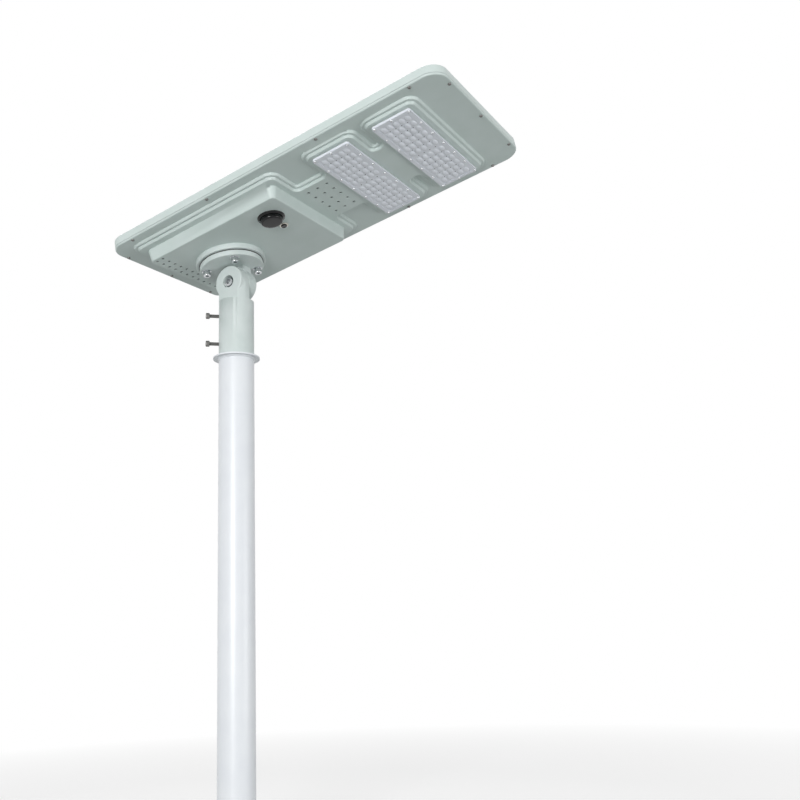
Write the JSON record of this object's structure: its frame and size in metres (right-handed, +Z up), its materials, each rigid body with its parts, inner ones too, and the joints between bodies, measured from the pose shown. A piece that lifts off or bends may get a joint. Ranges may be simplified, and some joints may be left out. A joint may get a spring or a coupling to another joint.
{
  "type": "solar street lamp",
  "caption": "Pole-top solar street lamp: flat tilting head with a photovoltaic panel above, LED modules and motion sensor below, on a toothed hinge and clamp sleeve",
  "frame": {"origin": "on the pole's axis at the lower end of its top section, where the socket opens", "axes": "+Z up along the pole, the LED end of the head points to -Y and the motion-sensor side of the head faces -X"},
  "size_m": [0.375, 0.8218, 1.4068],
  "materials": {
    "pole_paint": "satin white powder coat on steel tube",
    "galvanised_steel": "bright zinc plating",
    "bracket_paint": "satin pale grey powder coat on cast aluminium",
    "head_paint": "satin pale grey powder coat on pressed aluminium",
    "dark_steel": "black oxide",
    "stainless": "polished stainless steel",
    "black_rubber": "matt black",
    "grey_rubber": "matt grey silicone",
    "fine_mesh": "woven mesh sheet",
    "panel_glass": "tempered, clear, slightly textured",
    "white_film": "white",
    "silicon": "anti-reflection coated, blue-black",
    "tinned_ribbon": "tinned copper",
    "black_plastic": "fine texture",
    "led_board": "white solder mask",
    "led_phosphor": "phosphor",
    "lens_plastic": "moulded clear optic",
    "gloss_black": "polished",
    "circuit_board": "green solder mask",
    "nickel_brass": "nickel plated",
    "black_button": "smooth",
    "battery_sleeve": "blue shrink sleeve",
    "strap": "woven nylon",
    "controller_shell": "anodised",
    "red_wire": "smooth insulation"
  },
  "bodies": {
    "pole": {"pole_tube": "pole_paint", "pole_collar": "pole_paint", "pole_spigot": "galvanised_steel"},
    "arm": {"pole_sleeve": "bracket_paint", "set_screws": "dark_steel", "hinge_bolt": "stainless", "hinge_washers": "stainless", "hinge_nut": "stainless"},
    "button": {"switch_button": "black_button"},
    "head": {"bracket_flange": "bracket_paint", "flange_gasket": "black_rubber", "mounting_pad": "bracket_paint", "backing_plate": "galvanised_steel", "flange_bolts": "stainless", "flange_washers": "stainless", "flange_nuts": "stainless", "bottom_cover": "head_paint", "vent_screens": "fine_mesh", "top_frame": "head_paint", "frame_seal": "black_rubber", "edge_screws": "stainless", "solar_glass": "panel_glass", "panel_backsheet": "white_film", "glass_seal": "black_rubber", "solar_cells": "silicon", "cell_ribbons": "tinned_ribbon", "junction_box": "black_plastic", "led_board_1": "led_board", "led_board_2": "led_board", "led_chips_1": "led_phosphor", "led_chips_2": "led_phosphor", "led_seal_1": "grey_rubber", "led_seal_2": "grey_rubber", "led_lens_1": "lens_plastic", "led_lens_2": "lens_plastic", "lens_screws_1": "stainless", "lens_screws_2": "stainless", "sensor_bezel": "gloss_black", "sensor_dome": "gloss_black", "sensor_board": "circuit_board", "switch_body": "nickel_brass", "switch_nut": "nickel_brass", "battery_tray": "black_plastic", "battery_cells": "battery_sleeve", "battery_busbars": "tinned_ribbon", "battery_straps": "strap", "controller_case": "controller_shell", "controller_board": "circuit_board", "board_posts": "nickel_brass", "protection_board": "circuit_board", "led_cables": "red_wire", "panel_cable": "red_wire", "battery_cable": "red_wire", "signal_cables": "red_wire"}
  },
  "joints": [
    {"name": "sleeve_swivel", "type": "hinge", "parent": "pole", "child": "arm", "pos_m": [0, 0, 1.003], "axis": [0, 0, 1], "continuous": true},
    {"name": "head_tilt", "type": "hinge", "parent": "arm", "child": "head", "pos_m": [0, 0, 1.1713], "axis": [1, 0, 0], "range_deg": [-79.7, 20.3]},
    {"name": "switch_press", "type": "slide", "parent": "head", "child": "button", "axis": [0, 0.1788, 0.9839], "range_m": [0, 0.0015], "stiffness_N_per_m": 800}
  ]
}
